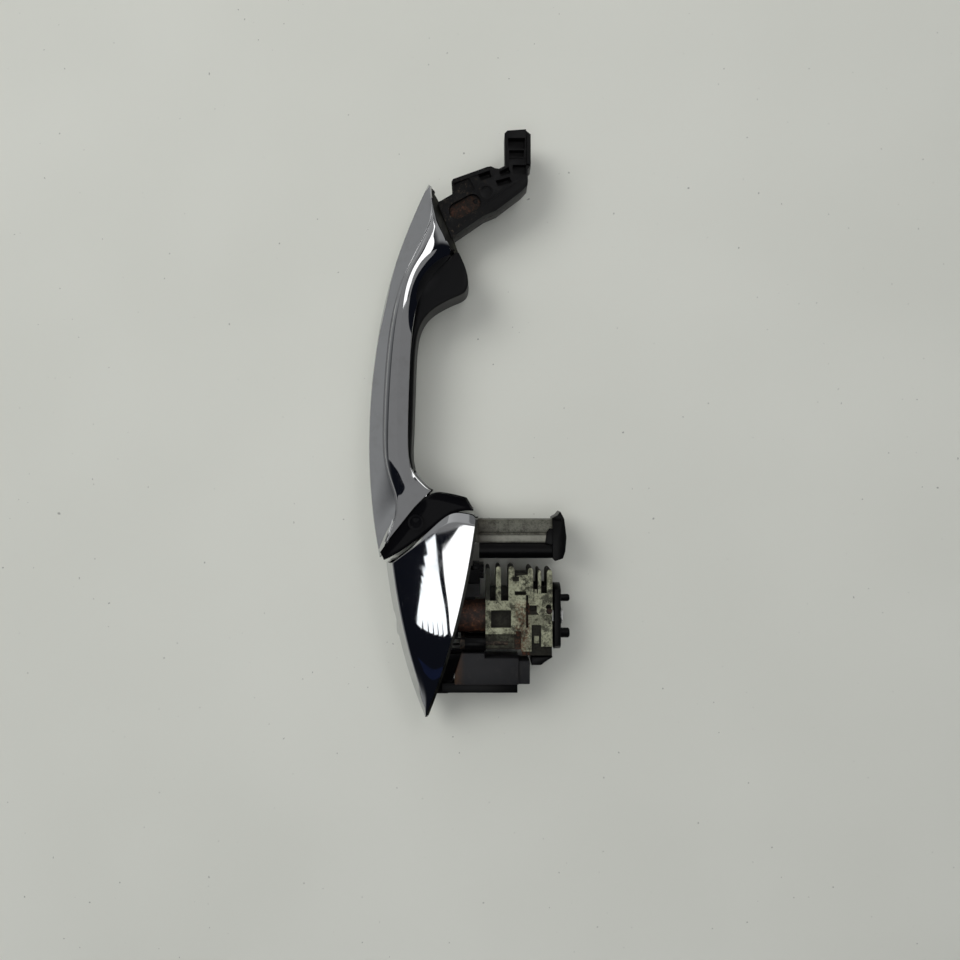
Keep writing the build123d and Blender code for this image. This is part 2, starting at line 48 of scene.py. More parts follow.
SENSOR = 36.0

camera_data = bpy.data.cameras.new("camera")
camera_data.sensor_width = SENSOR
camera_data.lens = SENSOR * VIEW_HEIGHT / VIEW_WIDTH
camera = bpy.data.objects.new("camera", camera_data)
bpy.context.scene.collection.objects.link(camera)
camera.location = Vector((*VIEW_SPOT, VIEW_HEIGHT)) * MM
camera.rotation_euler = (0, 0, -pi / 2)
bpy.context.scene.camera = camera
bpy.context.scene.view_settings.view_transform = "Standard"


# ---------------------------------------------------------------- table
# A pale, grey-green painted table that the handle lies on with one flank.
# It is a plain sheet, and it isn't part of the handle.
class Wire:
    """An output in a node tree. Sums and products of wires add Math nodes."""

    def __init__(self, owner, socket):
        self.owner = owner
        self.socket = socket

    def maths(self, operation, first, second=0.0):
        return self.owner.node("ShaderNodeMath", {"operation": operation}, {0: first, 1: second})

    def __add__(self, other):
        return self.maths("ADD", self, other)

    __radd__ = __add__

    def __sub__(self, other):
        return self.maths("SUBTRACT", self, other)

    def __rsub__(self, other):
        return self.maths("SUBTRACT", other, self)

    def __mul__(self, other):
        return self.maths("MULTIPLY", self, other)

    __rmul__ = __mul__

    def size(self):
        return self.maths("ABSOLUTE", self)

    def step(self, low, high):
        """0 below low, 1 above high, and smooth between."""
        settings = {"interpolation_type": "SMOOTHSTEP"}
        return self.owner.node("ShaderNodeMapRange", settings, {0: self, 1: low, 2: high, 3: 0.0, 4: 1.0})


class Tree:
    """A node tree that is written as expressions."""

    def __init__(self, tree):
        self.tree = tree

    def node(self, kind, settings=None, sockets=None, output=0):
        node = self.tree.nodes.new(kind)
        for name, value in (settings or {}).items():
            if name == "stops":
                self.set_stops(node.color_ramp, value)
            else:
                setattr(node, name, value)
        for name, value in (sockets or {}).items():
            self.join(value, node.inputs[name])
        return Wire(self, node.outputs[output])

    def join(self, value, place):
        if isinstance(value, Wire):
            self.tree.links.new(value.socket, place)
        else:
            place.default_value = value

    def set_stops(self, ramp, stops):
        while len(ramp.elements) < len(stops):
            ramp.elements.new(0.5)
        for element, (place, colour) in zip(ramp.elements, stops):
            element.position = place
            element.color = (*colour, 1.0)

    def axis(self, vector, number):
        return self.node("ShaderNodeSeparateXYZ", {}, {0: vector}, output=number)

    def mix(self, share, first, second):
        """A colour between two, each a triple or a wire."""
        first, second = [value if isinstance(value, Wire) else (*value, 1.0) for value in (first, second)]
        sockets = {0: share, 6: first, 7: second}
        return self.node("ShaderNodeMix", {"data_type": "RGBA"}, sockets, output=2)


class Paint(Tree):
    """A material on a Principled shader."""

    def __init__(self, name, colour, **values):
        self.material = bpy.data.materials.new(name)
        self.material.use_nodes = True
        super().__init__(self.material.node_tree)
        self.shader = self.tree.nodes["Principled BSDF"]
        self.set("Base Color", (*colour, 1.0))
        for socket, value in values.items():
            self.set(socket.replace("_", " "), value)

    def set(self, socket, value):
        self.join(value, self.shader.inputs[socket])

    def place(self):
        """Where a point is on the piece, in metres."""
        return self.node("ShaderNodeTexCoord", output=3)

    def along(self, number):
        return self.axis(self.place(), number)

    def noise(self, size_mm, detail=4.0, rough=0.55, stretch=(1, 1, 1), shift=0.0):
        """Soft random patches about size_mm across, from 0 to 1."""
        moved = self.node("ShaderNodeMapping", {}, {0: self.place(), 1: (shift, shift, shift), 3: stretch})
        sockets = {"Vector": moved, "Scale": 1.0 / (size_mm * MM), "Detail": detail, "Roughness": rough}
        return self.node("ShaderNodeTexNoise", {}, sockets)

    def ramp(self, value, stops):
        return self.node("ShaderNodeValToRGB", {"stops": stops}, {0: value})

    def bump(self, height, depth_mm, strength=1.0):
        sockets = {"Height": height, "Distance": depth_mm * MM, "Strength": strength}
        self.set("Normal", self.node("ShaderNodeBump", {}, sockets))


def new_object(name, mesh):
    thing = bpy.data.objects.new(name, mesh)
    bpy.context.scene.collection.objects.link(thing)
    return thing


TABLE_HALF = 3.0
FLANK_HALF = 17.0
TABLE_GAP = 0.05
table_mesh = bpy.data.meshes.new("table")
table_z = -(FLANK_HALF + TABLE_GAP) * MM
corners = [(x * TABLE_HALF, y * TABLE_HALF, table_z) for x, y in ((-1, -1), (1, -1), (1, 1), (-1, 1))]
table_mesh.from_pydata(corners, [], [(0, 1, 2, 3)])
table = new_object("table", table_mesh)
table_paint = Paint("table_paint", (0.80, 0.81, 0.74), Roughness=0.75)
table_patch = table_paint.noise(160, detail=2.0).step(0.3, 0.7)
table_colour = table_paint.mix(table_patch, (0.775, 0.785, 0.72), (0.815, 0.825, 0.76))
fine_specks = table_paint.noise(2.4, detail=1.0).step(0.775, 0.80)
coarse_specks = table_paint.noise(6.5, detail=3.0, shift=4.0).step(0.79, 0.81)
specks = fine_specks * 0.5 + coarse_specks * 0.5
table_paint.set("Base Color", table_paint.mix(specks, table_colour, (0.10, 0.10, 0.09)))
table_paint.bump(table_paint.noise(1.2), 0.02, 0.3)
table_mesh.materials.append(table_paint.material)


# ---------------------------------------------------------------- light
# Soft daylight from the front and the outboard side, in a dim grey room.
# The key and sky lamps stay out of reflections; the ceiling panels are what the chrome mirrors.
def panel(name, place, aim, size, brightness, colour=(1.0, 1.0, 1.0)):
    """A soft light panel. Its brightness is what a mirror shows of it."""
    data = bpy.data.lights.new(name, "AREA")
    data.shape = "RECTANGLE"
    data.size, data.size_y = size
    data.energy = brightness * pi * size[0] * size[1]
    data.color = colour
    lamp = new_object(name, data)
    lamp.location = place
    lamp.rotation_euler = (Vector(aim) - Vector(place)).to_track_quat("-Z", "Y").to_euler()
    lamp.visible_camera = False
    return lamp


CEILING_Z = 1.0


def ceiling_panel(name, x, y, brightness, colour=(1.0, 1.0, 1.0), lean=0.0):
    """A level panel one metre up, between two x and two y. Its low x end may lean inboard."""
    middle = Vector((sum(x) / 2, sum(y) / 2 + lean * (x[0] - x[1]) / 2, CEILING_Z))
    turn = atan(lean)
    size = ((x[1] - x[0]) / cos(turn), (y[1] - y[0]) * cos(turn))
    lamp = panel(name, middle, (middle.x, middle.y, 0), size, brightness, colour)
    lamp.rotation_euler = (0, 0, turn)
    return lamp


HANDLE_MIDDLE = (-0.13, 0.02, 0.0)
WINDOW_LIGHT = 1.9
WINDOW_TINT = (0.93, 0.97, 1.0)
key_light = panel("key_light", (0.60, 1.10, 1.5), HANDLE_MIDDLE, (1.1, 1.1), 3.7, (1.0, 1.0, 0.98))
sky_light = panel("sky_light", (0.0, -0.6, 2.6), HANDLE_MIDDLE, (4.0, 4.0), 0.31)
for lamp in (key_light, sky_light):
    lamp.visible_glossy = False
ceiling_panel("grip_ceiling", (-0.195, 1.70), (-0.10, 0.95), 0.25)
ceiling_panel("grip_ceiling_inboard", (-0.195, 0.17), (-1.0, -0.10), 0.24)
ceiling_panel("front_window", (0.17, 1.0), (-0.48, -0.16), WINDOW_LIGHT)
SLATS = 6
SLAT_WIDTH = 0.052
for number in range(SLATS):
    front_y = 0.258 + 0.012 * number
    rear_y = 0.10 + 0.07 * number
    x = (-0.64 + 0.008 * number, -0.205 - 0.028 * number)
    fan = (front_y - rear_y) / (x[1] - x[0])
    y = (front_y, front_y + SLAT_WIDTH)
    ceiling_panel("cap_slat_%d" % number, x, y, WINDOW_LIGHT, WINDOW_TINT, fan)
ceiling_panel("cap_window", (-0.64, -0.198), (0.05, 0.228), 2.0, lean=0.36)
ceiling_panel("cap_window_edge", (-0.60, -0.20), (-0.10, 0.042), 2.0, lean=0.30)
ceiling_panel("blue_sign", (-1.22, -1.02), (0.0, 0.75), 0.022, (0.12, 0.25, 1.0))

world = bpy.data.worlds.new("room")
bpy.context.scene.world = world
world.use_nodes = True
room = Tree(world.node_tree)
direction = room.node("ShaderNodeTexCoord", output=0)
outboard = room.axis(direction, 1).step(0.5, 0.8)
upward = room.axis(direction, 2).step(0.45, 0.85)
frontward = room.axis(direction, 0).step(0.25, 0.55)
lit = (outboard + frontward).step(0.0, 1.0) * (1 - upward)
walls = room.mix(lit, (0.006, 0.007, 0.011), (0.30, 0.305, 0.31))
room.join(walls, world.node_tree.nodes["Background"].inputs["Color"])


# ---------------------------------------------------------------- grip core and front arm
# The grip's core is one black glass-filled moulding that also makes the hooked front arm.
# The arm is an open box of ribs, with a rail, pockets and a boss on its upper side.
def prism(name, points, low, high):
    """A straight solid on an outline, from z = low to z = high, in millimetres."""
    form = bmesh.new()
    rings = [[form.verts.new(Vector((x, y, z)) * MM) for x, y in points] for z in (low, high)]
    form.faces.new(rings[0])
    form.faces.new(rings[1])
    for i in range(len(points)):
        j = (i + 1) % len(points)
        form.faces.new((rings[0][i], rings[0][j], rings[1][j], rings[1][i]))
    return closed(form, name)


def closed(form, name):
    """A new object from a closed form, with its faces turned outwards."""
    bmesh.ops.recalc_face_normals(form, faces=form.faces)
    mesh = bpy.data.meshes.new(name)
    form.to_mesh(mesh)
    form.free()
    return new_object(name, mesh)


def circle(centre, radius, sides=32):
    turns = [2 * pi * i / sides for i in range(sides)]
    return [(centre[0] + radius * cos(turn), centre[1] + radius * sin(turn)) for turn in turns]


def box(x, y, z):
    return prism("box", [(x[0], y[0]), (x[1], y[0]), (x[1], y[1]), (x[0], y[1])], z[0], z[1])


def bake(thing):
    """Turns an object with modifiers into its plain mesh."""
    bpy.context.view_layer.update()
    ready = thing.evaluated_get(bpy.context.evaluated_depsgraph_get())
    mesh = bpy.data.meshes.new_from_object(ready)
    thing.modifiers.clear()
    thing.data = mesh
    return thing


def combine(body, others, operation="UNION"):
    """Adds other solids to a body, or cuts them from it."""
    for other in others:
        step = body.modifiers.new("step", "BOOLEAN")
        step.operation = operation
        step.solver = "EXACT"
        step.object = other
        bake(body)
        bpy.data.objects.remove(other)
    return body


def mirrored(things):
    """The same solids again on the other flank."""
    twins = []
    for thing in things:
        form = bmesh.new()
        form.from_mesh(thing.data)
        for vert in form.verts:
            vert.co.z = -vert.co.z
        twins.append(closed(form, thing.name))
    return things + twins


def soften(thing, width_mm, segments=2, angle=32.0):
    """Rounds the edges, as a mould or a casting does."""
    bevel = thing.modifiers.new("edges", "BEVEL")
    bevel.width = width_mm * MM
    bevel.segments = segments
    bevel.limit_method = "ANGLE"
    bevel.angle_limit = radians(angle)
    bake(thing)
    return shade(thing)


def shade(thing, angle=40.0):
    thing.data.shade_smooth()
    thing.data.set_sharp_from_angle(angle=radians(angle))
    return thing


def finish_piece(thing, body, paint, slot, *nodes):
    """Paints a piece, fixes it to its body and lets it stand for its CAD nodes."""
    thing.data.materials.clear()
    thing.data.materials.append(paint.material)
    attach(thing, body)
    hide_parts(*nodes)
    return thing


def plain_node(node, paint):
    """A CAD node whose shape stays gets its finish."""
    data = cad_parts[node].data
    data.materials.clear()
    data.materials.append(paint.material)


def copy_of(node):
    """A merged copy of a CAD node's mesh, as one object."""
    form = bmesh.new()
    form.from_mesh(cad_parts[node].data)
    bmesh.ops.remove_doubles(form, verts=form.verts, dist=0.004 * MM)
    bmesh.ops.dissolve_limit(form, angle_limit=radians(0.6), verts=form.verts, edges=form.edges)
    return closed(form, node + "_piece")


def strip(points, width, low, high):
    """A wall of even width along a path; the path is its middle."""
    left, right = [], []
    for i, point in enumerate(points):
        before = points[max(i - 1, 0)]
        after = points[min(i + 1, len(points) - 1)]
        dx, dy = after[0] - before[0], after[1] - before[1]
        length = hypot(dx, dy)
        nx, ny = -dy / length * width / 2, dx / length * width / 2
        left.append((point[0] + nx, point[1] + ny))
        right.append((point[0] - nx, point[1] - ny))
    return prism("strip", left + right[::-1], low, high)


def join(name, things):
    """One object from several, with their meshes side by side."""
    form = bmesh.new()
    for thing in things:
        form.from_mesh(thing.data)
        bpy.data.objects.remove(thing)
    mesh = bpy.data.meshes.new(name)
    form.to_mesh(mesh)
    form.free()
    return new_object(name, mesh)


ARM_OUTLINE = [
    (-12.3, 36.4), (-8.4, 29.8), (-2.7, 30.1), (-1.5, 29.4), (4.0, 13.9), (4.3, 12.1), (3.4, 10.2),
    (3.2, 8.4), (4.5, 5.7), (19.3, 5.9), (20.6, 4.6), (21.2, -3.9), (19.4, -6.1), (4.6, -6.1),
    (3.0, -4.7), (-2.5, -4.8), (-4.1, -4.6), (-7.0, -2.0), (-15.9, 9.8), (-18.3, 15.5), (-28.2, 30.0),
]
ARM_HALF = 6.4
ARM_DECK = 4.6
ARM_WELL = 1.6
CORE_FLATTEN = 0.42
SEAT_START = (-33.8, 27.0)
SEAT_END = (-6.5, 36.6)

arm = prism("front_arm", ARM_OUTLINE, -ARM_HALF, ARM_HALF)
cuts = [
    prism("well", [(-9.6, 29.0), (-3.4, 29.2), (-1.0, 22.0), (-6.2, 19.4), (-9.0, 22.6)], ARM_DECK, 20.0),
    strip([(-2.2, 27.6), (2.3, 14.2)], 0.55, ARM_DECK + 0.6, 20.0),
    prism("well", [(0.6, 17.9), (2.1, 12.8), (-0.5, 11.8), (-2.4, 16.8)], ARM_WELL, 20.0),
    prism("well", [(1.9, 8.2), (4.0, 4.1), (1.2, 3.1), (-0.3, 7.4)], ARM_WELL, 20.0),
    prism("well", [(-2.3, 10.0), (-0.6, 3.6), (-3.0, 2.6), (-4.9, 8.9)], ARM_WELL, 20.0),
    box((12.3, 17.2), (-3.4, 4.3), (ARM_WELL, 20.0)),
    box((8.6, 11.6), (-3.0, 3.8), (ARM_WELL + 1.2, 20.0)),
    box((0.6, 4.9), (-4.0, 2.2), (ARM_WELL + 1.2, 20.0)),
    box((5.6, 8.2), (-3.6, 3.8), (ARM_HALF - 0.7, 20.0)),
    prism("step", [(4.4, -9.0), (4.4, -3.9), (23.0, -3.9), (23.0, -9.0)], ARM_HALF - 1.5, 20.0),
]
oval_turn = radians(-62)
OVAL_MIDDLE = (-14.0, 24.0)
OVAL_LENGTH, OVAL_WIDTH = 15.6, 7.6


def oval(length, width, sides=14):
    """A slot shape along the front arm, with round ends."""
    reach = (length - width) / 2
    points = []
    for end in (1, -1):
        for i in range(sides + 1):
            turn = pi * i / sides - pi / 2
            points.append((end * (reach + width / 2 * cos(turn)), end * width / 2 * sin(turn)))
    turned = []
    for x, y in points:
        turned.append((OVAL_MIDDLE[0] + x * cos(oval_turn) - y * sin(oval_turn),
                       OVAL_MIDDLE[1] + x * sin(oval_turn) + y * cos(oval_turn)))
    return turned


cuts.append(prism("oval", oval(OVAL_LENGTH, OVAL_WIDTH), ARM_DECK - 0.5, 20.0))
combine(arm, cuts, "DIFFERENCE")
BOSS_SPOT = (-7.4, 14.2)
extras = [
    prism("boss", circle(BOSS_SPOT, 3.6), ARM_HALF - 1.0, ARM_HALF + 0.35),
    strip([(-3.2, 29.3), (2.9, 12.4)], 0.9, ARM_HALF - 1.0, ARM_HALF + 0.5),
    strip([(-12.4, 14.0), (-7.0, 7.0), (-3.0, 1.4)], 0.8, ARM_HALF - 1.0, ARM_HALF + 0.3),
    box((5.4, 19.0), (-6.05, -4.2), (ARM_HALF - 2.2, ARM_HALF + 0.2)),
]
combine(arm, extras)
combine(arm, [prism("boss_hollow", circle(BOSS_SPOT, 2.6), ARM_HALF - 0.5, 20.0)], "DIFFERENCE")
soften(arm, 0.24, 2)

core = copy_of("grip_core")
form = bmesh.new()
form.from_mesh(core.data)
seat_line = Vector((SEAT_END[0] - SEAT_START[0], SEAT_END[1] - SEAT_START[1], 0)).normalized()
inboard = Vector((seat_line.y, -seat_line.x, 0))
everything = form.verts[:] + form.edges[:] + form.faces[:]
bmesh.ops.bisect_plane(form, geom=everything, plane_co=Vector((*SEAT_START, 0)) * MM,
                       plane_no=inboard, clear_outer=True)
bmesh.ops.holes_fill(form, edges=[edge for edge in form.edges if edge.is_boundary])
for vert in form.verts:
    vert.co.z *= CORE_FLATTEN
form.to_mesh(core.data)
form.free()

arm = join("grip_core_and_arm", [core, arm])
arm_paint = Paint("glass_filled_black", (0.01, 0.01, 0.011), Roughness=0.5)
arm_paint.set("Specular IOR Level", 0.18)
dust = arm_paint.noise(2.0, detail=9.0, rough=0.75).step(0.54, 0.72)
near_root = arm_paint.along(1).step(0.010, 0.026)
flat_top = arm_paint.along(2).size().step(0.0035, 0.0048)
grime = dust * near_root * flat_top * 0.75 + dust * 0.05
arm_paint.set("Base Color", arm_paint.mix(grime, (0.0045, 0.0045, 0.0048), (0.11, 0.085, 0.06)))
arm_paint.set("Roughness", 0.42 + 0.4 * dust)
arm_paint.bump(arm_paint.noise(0.5) + 0.6 * arm_paint.noise(2.0, shift=3.0), 0.05, 0.5)
finish_piece(arm, "grip", arm_paint, "arm_black", "grip_core")


# ---------------------------------------------------------------- steel insert
# A steel plate moulded into the front arm. Water reaches it, so its face has rusted.
insert = prism("arm_insert_piece", oval(OVAL_LENGTH - 0.5, OVAL_WIDTH - 0.5), ARM_DECK - 1.5, ARM_DECK + 0.1)
combine(insert, [prism("hole", circle((-11.4, 19.2), 1.1, 20), ARM_DECK - 0.8, 20.0)], "DIFFERENCE")
soften(insert, 0.25)
old_rust = Paint("old_rust", (0.1, 0.05, 0.03), Roughness=0.85)
insert_pits = 0.65 * old_rust.noise(2.6, detail=9.0, rough=0.75) + 0.35 * old_rust.noise(0.8, shift=1.0)
old_rust.set("Base Color", old_rust.ramp(insert_pits, [
    (0.38, (0.007, 0.006, 0.006)), (0.50, (0.016, 0.011, 0.008)), (0.58, (0.055, 0.023, 0.014)),
    (0.68, (0.12, 0.07, 0.045)),
]))
old_rust.bump(insert_pits, 0.3, 0.9)
finish_piece(insert, "grip", old_rust, "rusty_steel", "arm_insert")


# ---------------------------------------------------------------- grip shell
# The chrome-plated outer shell of the grip: an upright outer face, a bevel up to a sharp fold,
# and a flank that rolls over to the finger side. It is moulded plastic, clipped over the core.
GRIP_ARC = (-122.1, -211.9)
GRIP_RADIUS = 279.9


def outer_edge(x, inset=0.0):
    """The grip's long outer curve, seen from above."""
    return (x, GRIP_ARC[1] + sqrt((GRIP_RADIUS - inset) ** 2 - (x - GRIP_ARC[0]) ** 2))


# Each row: x and z of the bevel's outer edge, then the fold, the top and the lower edge (x, y, z).
GRIP_ROWS = [
    (-2.2, 0.5, (-3.0, 40.4, 1.5), (-3.3, 40.1, 1.7), (-3.8, 39.8, 1.5)),
    (-5.0, 1.2, (-7.4, 40.2, 3.2), (-7.9, 39.7, 3.4), (-8.6, 39.2, 3.1)),
    (-8.5, 1.9, (-12.8, 39.2, 4.9), (-14.2, 38.6, 5.1), (-14.9, 38.1, 4.7)),
    (-12.5, 2.4, (-17.6, 38.5, 6.3), (-20.4, 36.9, 6.6), (-21.0, 36.4, 6.1)),
    (-18.0, 3.2, (-24.4, 41.0, 8.1), (-26.2, 37.6, 8.5), (-28.6, 33.0, 6.2)),
    (-25.0, 4.6, (-32.2, 44.8, 9.5), (-33.0, 42.4, 10.1), (-35.4, 28.7, 3.4)),
    (-33.5, 6.1, (-41.2, 49.0, 10.5), (-40.6, 47.0, 11.1), (-42.2, 36.3, 3.5)),
    (-42.0, 7.2, (-48.4, 52.6, 11.1), (-48.6, 50.2, 11.9), (-49.3, 41.6, 4.6)),
    (-52.0, 7.6, (-55.6, 54.8, 11.4), (-56.4, 51.6, 12.5), (-57.6, 45.2, 8.6)),
    (-64.0, 7.7, (-65.0, 57.0, 11.5), (-65.6, 52.4, 12.9), (-67.0, 47.2, 11.2)),
    (-78.0, 7.4, (-77.6, 58.9, 11.5), (-78.2, 53.4, 13.2), (-79.0, 48.4, 11.8)),
    (-98.0, 7.2, (-97.6, 60.5, 11.5), (-98.0, 54.6, 13.3), (-98.2, 49.2, 11.9)),
    (-118.0, 7.2, (-117.6, 61.1, 11.5), (-118.0, 54.8, 13.3), (-118.4, 49.7, 11.9)),
    (-134.0, 7.2, (-130.0, 60.7, 11.6), (-130.4, 54.4, 13.3), (-129.8, 49.5, 12.0)),
    (-147.0, 7.2, (-139.6, 58.0, 11.9), (-138.2, 51.6, 13.3), (-136.0, 47.2, 12.2)),
    (-158.5, 7.1, (-147.2, 54.8, 12.3), (-143.4, 48.2, 13.4), (-140.4, 43.4, 12.6)),
    (-167.5, 6.8, (-155.6, 55.0, 12.6), (-147.4, 46.8, 13.5), (-142.8, 40.8, 12.9)),
    (-174.2, 6.4, (-167.0, 59.4, 12.6), (-151.0, 46.6, 13.6), (-143.6, 39.2, 13.0)),
]
SKIRT_Z = 9.2


def bezier(start, control, end, share):
    return start.lerp(control, share).lerp(control.lerp(end, share), share)


def grip_row(outer_x, edge_z, fold, top, lower):
    """One side of a section, from the outer face to the finger side."""
    outer = Vector((*outer_edge(outer_x), 0))
    edge = outer + Vector((0, -0.15, edge_z))
    fold, top, lower = Vector(fold), Vector(top), Vector(lower)
    across = (top - fold)
    width = hypot(across.x, across.y)
    groove = fold + across * min(0.3, 0.4 / width) + Vector((0, 0, -0.45 * min(1.0, width / 4)))
    rise = fold + across * min(0.5, 0.95 / width)
    rise.z = fold.z + 0.25 * (top.z - fold.z)
    control = fold.lerp(top, 0.5)
    control.z = top.z - 0.1
    drop = top.z - lower.z
    scooped = min(1.0, max(0.0, (drop - 1.5) / 3.0))
    roll = []
    for part, scoop_fall in ((0.35, 0.07), (0.62, 0.30)):
        point = top.lerp(lower, part)
        point.z = top.z - (part + (scoop_fall - part) * scooped) * drop
        roll.append(point)
    skirt = lower + Vector((0, -0.15, min(SKIRT_Z - lower.z, -0.3)))
    return [
        outer, outer + Vector((0, -0.03, 0.65 * edge_z)), edge,
        edge.lerp(fold, 0.3) + Vector((0, 0.1, 0.12)), edge.lerp(fold, 0.8) + Vector((0, 0.05, 0.1)), fold,
        groove, rise, bezier(rise, control, top, 0.5), top,
        *roll, lower, skirt,
    ]


def both_sides(points):
    """A section's lower half, mirrored, followed by the half itself."""
    lower = [Vector((p.x, p.y, -p.z)) for p in points[:0:-1]]
    return lower + points


def sheet_of(name, rows, folds=(), levels=3, sharp_rows=()):
    """A smooth sheet through rows of points, with sharp lines where it folds."""
    form = bmesh.new()
    grid = [[form.verts.new(p * MM) for p in row] for row in rows]
    for upper, lower in zip(grid, grid[1:]):
        for i in range(len(upper) - 1):
            form.faces.new((upper[i], upper[i + 1], lower[i + 1], lower[i]))
    crease = form.edges.layers.float.new("crease_edge")
    for column, sharpness in folds:
        for upper, lower in zip(grid, grid[1:]):
            edge = form.edges.get((upper[column], lower[column]))
            edge[crease] = sharpness
    for number, sharpness in sharp_rows:
        for first, second in zip(grid[number], grid[number][1:]):
            form.edges.get((first, second))[crease] = sharpness
    thing = closed(form, name)
    smooth = thing.modifiers.new("smooth", "SUBSURF")
    smooth.levels = levels
    smooth.render_levels = levels
    return bake(thing)


def thicken(thing, depth_mm):
    """Gives a sheet its wall, on the inner side."""
    wall = thing.modifiers.new("wall", "SOLIDIFY")
    wall.thickness = depth_mm * MM
    wall.offset = -1.0
    return bake(thing)


def outward(thing, centre):
    """Turns an open sheet so that its faces point away from a point in its hollow."""
    middle = Vector(centre) * MM
    vote = sum((face.center - middle).dot(face.normal) * face.area for face in thing.data.polygons)
    if vote < 0:
        thing.data.flip_normals()
    return thing


def both_columns(length, *pairs):
    """Fold columns of one half, and the same columns on the mirrored half."""
    middle = length // 2
    return [(middle + side * column, sharp) for column, sharp in pairs for side in (-1, 1)]


grip_rows = [both_sides(grip_row(*row)) for row in GRIP_ROWS]
grip_folds = both_columns(len(grip_rows[0]), (2, 0.7), (5, 0.9), (7, 0.4), (9, 0.3), (12, 0.9))
shell = outward(sheet_of("grip_shell_piece", grip_rows, grip_folds, 3), (-100, 52, 0))
thicken(shell, 0.9)
shade(shell, 50)

chrome = Paint("chrome_plate", (0.60, 0.605, 0.61), Metallic=1.0, Roughness=0.05)
haze = chrome.noise(7.0, detail=6.0, rough=0.6).step(0.45, 0.8)
specks = chrome.noise(0.5, detail=3.0, rough=0.7).step(0.70, 0.78)
chrome.set("Roughness", 0.03 + 0.05 * haze + 0.3 * specks)
chrome.set("Base Color", chrome.mix(haze * 0.5 + specks * 0.4, (0.60, 0.605, 0.61), (0.50, 0.50, 0.49)))
finish_piece(shell, "grip", chrome, "chrome", "grip_shell")


# ---------------------------------------------------------------- finger-side lining and foot
# Satin black moulding that closes the finger side of the shell. At the front it swells
# into the foot that stands on the door.
LINING_ROWS = [
    ((-34.4, 28.4, 3.8), (-34.4, 27.0, 3.6)),
    ((-38.2, 32.0, 3.8), (-40.6, 24.2, 7.2)),
    ((-42.2, 36.2, 3.9), (-46.6, 22.6, 9.0)),
    ((-46.0, 39.4, 4.4), (-51.6, 22.6, 9.8)),
    ((-50.0, 42.0, 5.4), (-54.6, 24.6, 10.0)),
    ((-54.2, 44.0, 6.8), (-56.2, 29.2, 10.0)),
    ((-59.8, 45.7, 7.8), (-59.0, 34.8, 9.6)),
    ((-66.6, 47.0, 8.5), (-63.0, 41.0, 8.8)),
    ((-74.0, 47.9, 9.0), (-69.6, 45.2, 8.2)),
    ((-84.0, 48.7, 9.2), (-80.0, 46.8, 7.8)),
    ((-100.0, 49.3, 9.3), (-100.0, 47.4, 7.8)),
    ((-118.0, 49.7, 9.3), (-119.0, 48.0, 7.8)),
    ((-128.0, 49.6, 9.1), (-129.0, 48.6, 7.8)),
    ((-134.0, 48.2, 8.9), (-134.6, 47.4, 8.2)),
]


def lining_row(upper, lower, swell=0.06):
    """A section from the shell's edge over a soft swelling to the edge and round it."""
    upper, lower = Vector(upper), Vector(lower)
    rise = Vector((0, 0, swell * (upper - lower).length))
    reach = (lower - upper).normalized()
    return [
        upper + Vector((0, 0, -0.4)), upper, upper.lerp(lower, 0.35) + rise, upper.lerp(lower, 0.75) + rise,
        lower, lower + 0.3 * reach + Vector((0, 0, -1.1)), Vector((lower.x, lower.y, 0)) + 0.2 * reach,
    ]


def folded_round(points):
    """A section from one edge, round the lower side, to the mirrored edge."""
    return points + [Vector((p.x, p.y, -p.z)) for p in points[-2::-1]]


lining_rows = [folded_round(lining_row(*row)) for row in LINING_ROWS]
lining = outward(sheet_of("grip_lining_piece", lining_rows, (), 3), (-46, 40, 0))
thicken(lining, 0.8)
shade(lining, 50)
satin = Paint("satin_black", (0.0035, 0.0035, 0.004), Roughness=0.42)
satin.set("Specular IOR Level", 0.2)
satin.set("Roughness", 0.38 + 0.12 * satin.noise(12.0))
satin.bump(satin.noise(0.25, detail=2.0), 0.02, 0.25)
finish_piece(lining, "grip", satin, "lining_black", "grip_lining")


# ---------------------------------------------------------------- front seat
# A dark strip under the front tip, between the chrome and the door.
SEAT_ROWS = [
    ((-4.4, 39.7, 1.2), (-4.9, 39.3, 0.8)),
    ((-8.6, 39.2, 3.0), (-9.2, 36.8, 2.2)),
    ((-14.9, 38.2, 5.1), (-15.6, 33.9, 4.0)),
    ((-21.0, 36.7, 6.5), (-21.6, 31.7, 5.2)),
    ((-28.8, 33.3, 6.2), (-28.6, 29.4, 4.8)),
    ((-34.8, 28.9, 3.8), (-34.4, 27.3, 3.4)),
]
seat_rows = [folded_round(lining_row(*row, 0.0)) for row in SEAT_ROWS]
seat = outward(sheet_of("front_seat_piece", seat_rows, (), 3), (-20, 40, 0))
thicken(seat, 0.8)
shade(seat, 50)
seal_paint = Paint("seal_rubber", (0.02, 0.02, 0.018), Roughness=0.35)
seal_paint.set("Specular IOR Level", 0.25)
# Lighter olive streaks along the seat: smears, and painted sheen.
smear_and_sheen = seal_paint.noise(3.0, detail=6.0, stretch=(0.3, 1, 1)).step(0.45, 0.75)
seal_paint.set("Base Color", seal_paint.mix(smear_and_sheen, (0.006, 0.006, 0.005), (0.030, 0.030, 0.021)))
seal_paint.set("Roughness", 0.3 + 0.35 * smear_and_sheen)
finish_piece(seat, "grip", seal_paint, "seal_rubber", "front_seat")


